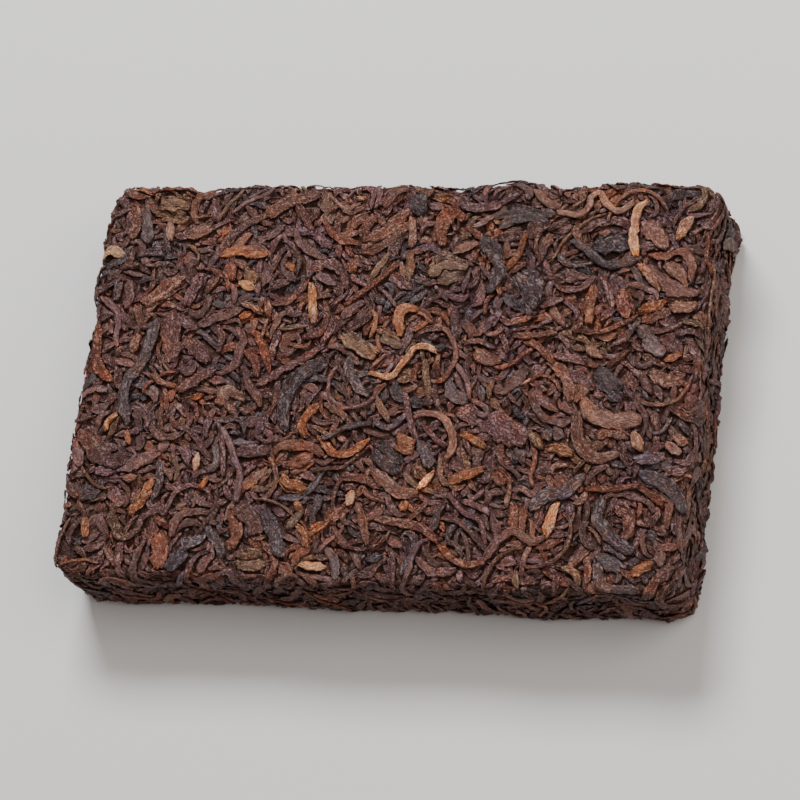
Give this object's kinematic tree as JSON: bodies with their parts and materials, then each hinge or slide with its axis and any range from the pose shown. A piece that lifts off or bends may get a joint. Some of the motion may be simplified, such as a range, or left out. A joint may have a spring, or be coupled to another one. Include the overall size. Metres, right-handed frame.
{
  "type": "pu erh tea brick",
  "caption": "Rectangular brick of pressed ripe pu erh tea, with rounded corners, rough sides and flattened twisted leaves all over.",
  "frame": {"origin": "under the centre of the brick's back face, on the surface that it lies on", "axes": "+X along the brick's length, +Y across its width towards the side that is uppermost in the picture, +Z out of the show face"},
  "size_m": [0.1476, 0.0974, 0.021],
  "materials": {
    "pressed_tea": "matte dark brown pressed tea leaves, slightly sheeny, with reddish and golden tips"
  },
  "bodies": {
    "root": {"tea_brick": "pressed_tea"}
  },
  "joints": []
}
